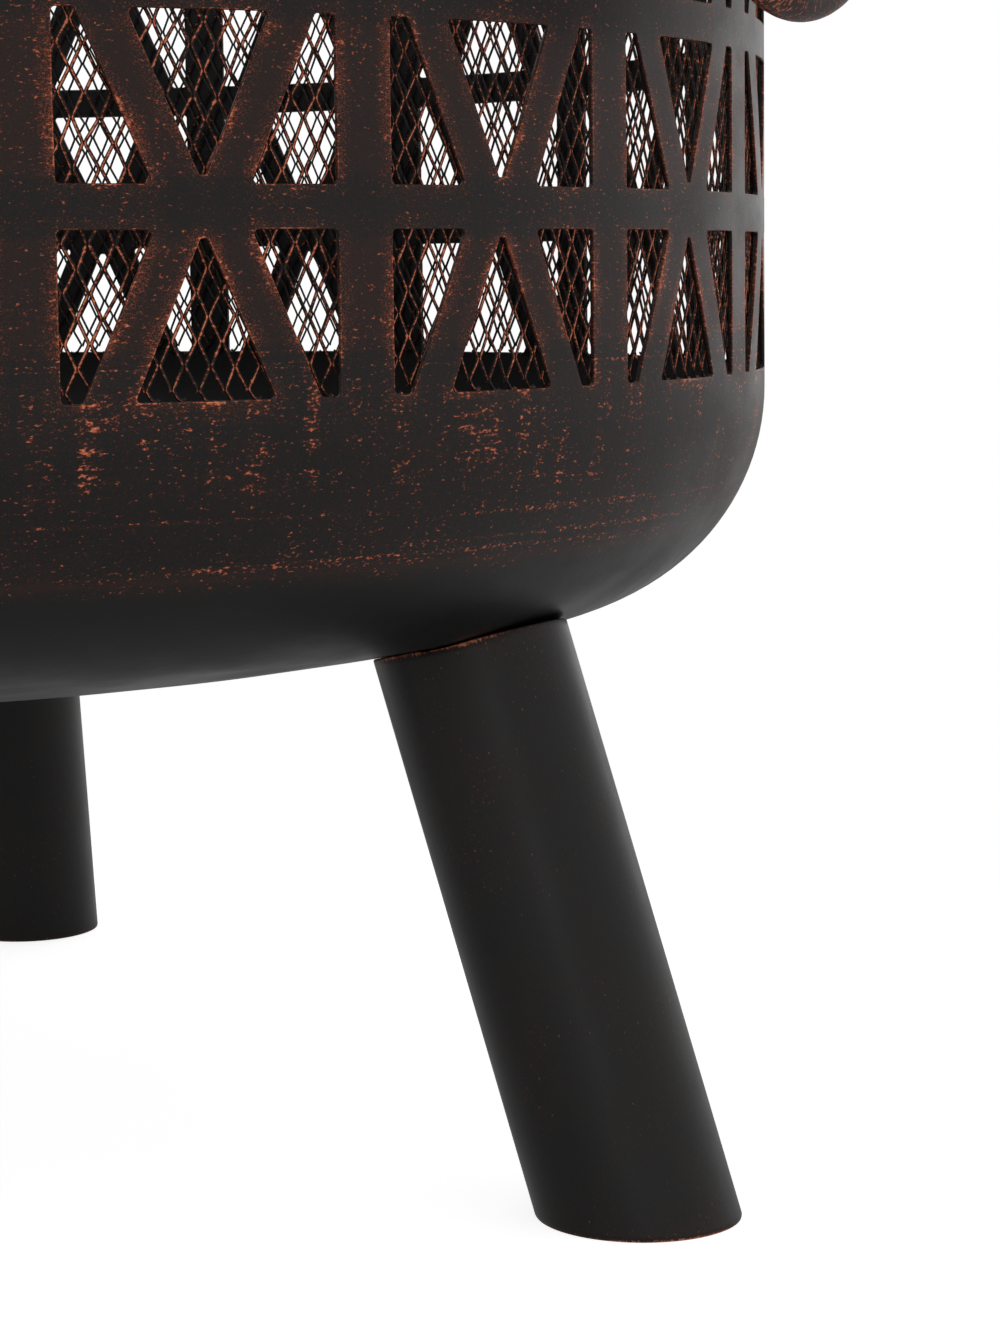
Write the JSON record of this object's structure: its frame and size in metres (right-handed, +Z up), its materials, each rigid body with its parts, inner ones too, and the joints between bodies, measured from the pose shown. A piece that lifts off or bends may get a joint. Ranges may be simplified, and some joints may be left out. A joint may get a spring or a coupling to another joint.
{
  "type": "fire pit with grate",
  "caption": "Round steel fire pit: drum pierced with triangles over a mesh liner, rounded bowl, splayed tube legs, drop-ring handles and a lift-out log grate.",
  "frame": {"origin": "on the floor under the centre of the drum", "axes": "+Z up, +X towards the right ring handle with a leg under it, -Y is the front"},
  "size_m": [0.738, 0.738, 0.4855],
  "materials": {
    "bronze_paint": "satin black with copper dry-brushing",
    "mesh_paint": "satin",
    "leg_paint": "satin",
    "fastener": "zinc plated",
    "plug_plastic": "matt",
    "grate_steel": "heat-proof black"
  },
  "bodies": {
    "pit": {"drum_wall": "bronze_paint", "fire_bowl": "bronze_paint", "rim_flange": "bronze_paint", "mesh_liner": "mesh_paint", "leg_1": "leg_paint", "leg_2": "leg_paint", "leg_3": "leg_paint", "leg_plate_1": "leg_paint", "leg_plate_2": "leg_paint", "leg_plate_3": "leg_paint", "leg_bolts": "fastener", "leg_washers": "fastener", "leg_nuts": "fastener", "foot_plugs": "plug_plastic", "handle_lug_right": "bronze_paint", "handle_lug_left": "bronze_paint"},
    "right_ring": {"ring_handle_right": "bronze_paint"},
    "left_ring": {"ring_handle_left": "bronze_paint"},
    "log_grate": {"grate_hoop": "grate_steel", "grate_bars": "grate_steel", "grate_feet": "grate_steel"}
  },
  "joints": [
    {"name": "right_ring_swing", "type": "hinge", "parent": "pit", "child": "right_ring", "pos_m": [0.351, 0, 0.4675], "axis": [0, -1, 0], "range_deg": [-19, 85]},
    {"name": "left_ring_swing", "type": "hinge", "parent": "pit", "child": "left_ring", "pos_m": [-0.351, 0, 0.4675], "axis": [0, 1, 0], "range_deg": [-19, 85]},
    {"name": "grate_lift", "type": "slide", "parent": "pit", "child": "log_grate", "axis": [0, 0, 1], "range_m": [0, 0.34]}
  ]
}
